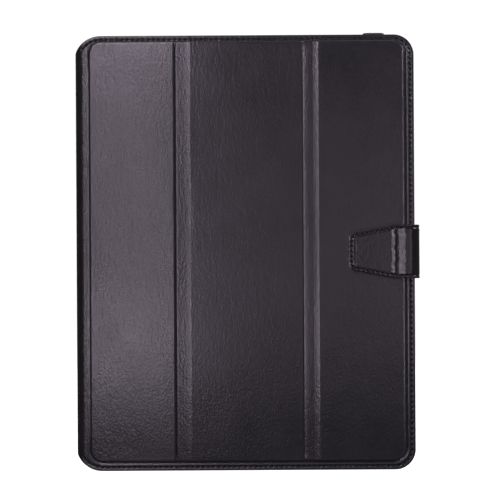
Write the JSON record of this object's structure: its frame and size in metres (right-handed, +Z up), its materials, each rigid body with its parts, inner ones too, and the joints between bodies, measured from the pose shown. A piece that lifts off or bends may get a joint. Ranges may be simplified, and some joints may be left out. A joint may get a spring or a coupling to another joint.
{
  "type": "tablet case",
  "caption": "Closed tri-fold leather tablet case with an inner tray, flexible spine, sewn border, magnetic closing tab and raised button covers.",
  "frame": {"origin": "middle of the base on which the closed case stands upright, at the middle of its overall width and depth", "axes": "+Z up along the height, from the bottom edge to the top edge; +X from the spine to the closing tab; the front cover faces -Y"},
  "size_m": [0.2276, 0.0196, 0.2891],
  "materials": {
    "cover_leather": "smooth black, semi-gloss, fine grain",
    "tab_leather": "smooth black, semi-gloss",
    "board": "pressed grey board",
    "lining": "charcoal microfibre suede",
    "thread": "black waxed thread",
    "tray_polymer": "black, fine matt texture",
    "button_skin": "black, satin",
    "steel": "plated"
  },
  "bodies": {
    "back": {"back_leather": "cover_leather", "back_board": "board", "back_lining": "lining", "back_stitches": "thread", "camera_surround": "tray_polymer", "tab_anchor": "tab_leather", "tray_shell": "tray_polymer", "tray_lining": "lining"},
    "spine": {"spine_leather": "cover_leather", "spine_board": "board", "spine_lining": "lining"},
    "panel_1": {"panel_1_leather": "cover_leather", "panel_1_board": "board", "panel_1_lining": "lining", "panel_1_stitches": "thread"},
    "panel_2": {"panel_2_leather": "cover_leather", "panel_2_board": "board", "panel_2_lining": "lining", "panel_2_stitches": "thread"},
    "panel_3": {"panel_3_leather": "cover_leather", "panel_3_board": "board", "panel_3_lining": "lining", "panel_3_stitches": "thread", "closure_plate": "steel", "wake_magnets": "steel"},
    "tab_side": {"tab_side_leather": "tab_leather", "tab_side_lining": "tab_leather"},
    "tab_flap": {"tab_flap_leather": "tab_leather", "tab_flap_lining": "tab_leather", "tab_magnet": "steel", "tab_flap_stitches": "thread"},
    "power_button": {"power_button_cover": "button_skin"},
    "volume_up": {"volume_up_cover": "button_skin"},
    "volume_down": {"volume_down_cover": "button_skin"}
  },
  "joints": [
    {"name": "spine_hinge", "type": "hinge", "parent": "back", "child": "spine", "pos_m": [-0.11065, 0.00847, 0.144], "axis": [0, 0, 1], "range_deg": [-180, 0]},
    {"name": "cover_hinge", "type": "hinge", "parent": "spine", "child": "panel_1", "pos_m": [-0.10505, -0.00673, 0.144], "axis": [0, 0, 1], "range_deg": [-180, 0]},
    {"name": "fold_1", "type": "hinge", "parent": "panel_1", "child": "panel_2", "pos_m": [-0.04315, -0.00673, 0.144], "axis": [0, 0, -1], "range_deg": [0, 120]},
    {"name": "fold_2", "type": "hinge", "parent": "panel_2", "child": "panel_3", "pos_m": [0.04165, -0.00673, 0.144], "axis": [0, 0, -1], "range_deg": [0, 170]},
    {"name": "tab_root", "type": "hinge", "parent": "back", "child": "tab_side", "pos_m": [0.11075, 0.00847, 0.144], "axis": [0, 0, 1], "range_deg": [0, 170]},
    {"name": "tab_bend", "type": "hinge", "parent": "tab_side", "child": "tab_flap", "pos_m": [0.11385, -0.00953, 0.144], "axis": [0, 0, 1], "range_deg": [0, 90]},
    {"name": "power_press", "type": "slide", "parent": "back", "child": "power_button", "axis": [0, 0, -1], "range_m": [0, 0.0005], "stiffness_N_per_m": 1500},
    {"name": "volume_up_press", "type": "slide", "parent": "back", "child": "volume_up", "axis": [-1, 0, 0], "range_m": [0, 0.0005], "stiffness_N_per_m": 1500},
    {"name": "volume_down_press", "type": "slide", "parent": "back", "child": "volume_down", "axis": [-1, 0, 0], "range_m": [0, 0.0005], "stiffness_N_per_m": 1500}
  ]
}
